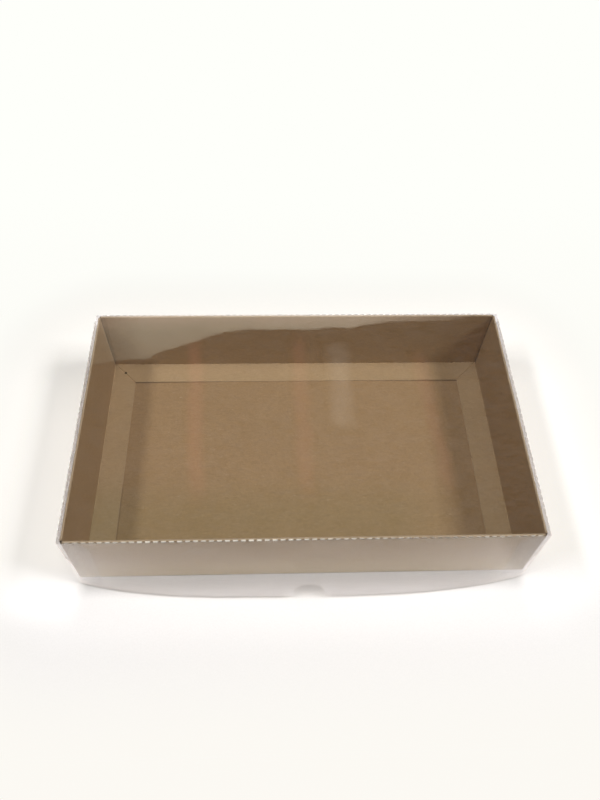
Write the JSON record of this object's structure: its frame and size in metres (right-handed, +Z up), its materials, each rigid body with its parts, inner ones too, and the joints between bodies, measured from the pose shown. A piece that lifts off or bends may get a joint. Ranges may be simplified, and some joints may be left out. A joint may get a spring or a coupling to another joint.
{
  "type": "acetate window box",
  "caption": "Shallow rectangular kraft board tray with rolled double walls, under a clear lift-off lid of folded film with perforated creases and a thumb notch.",
  "frame": {"origin": "middle of the tray's underside, on the table", "axes": "+X along the box's length, +Y to the back, +Z up; the lid's thumb notch is in the wall on the -Y side"},
  "size_m": [0.315, 0.2224, 0.0583],
  "materials": {
    "kraft_board": "matte",
    "clear_film": "clear, glossy"
  },
  "bodies": {
    "tray": {"tray": "kraft_board"},
    "lid": {"lid": "clear_film"}
  },
  "joints": [
    {"name": "lid_lift", "type": "slide", "parent": "tray", "child": "lid", "axis": [0, 0, 1], "range_m": [0, 0.08]}
  ]
}
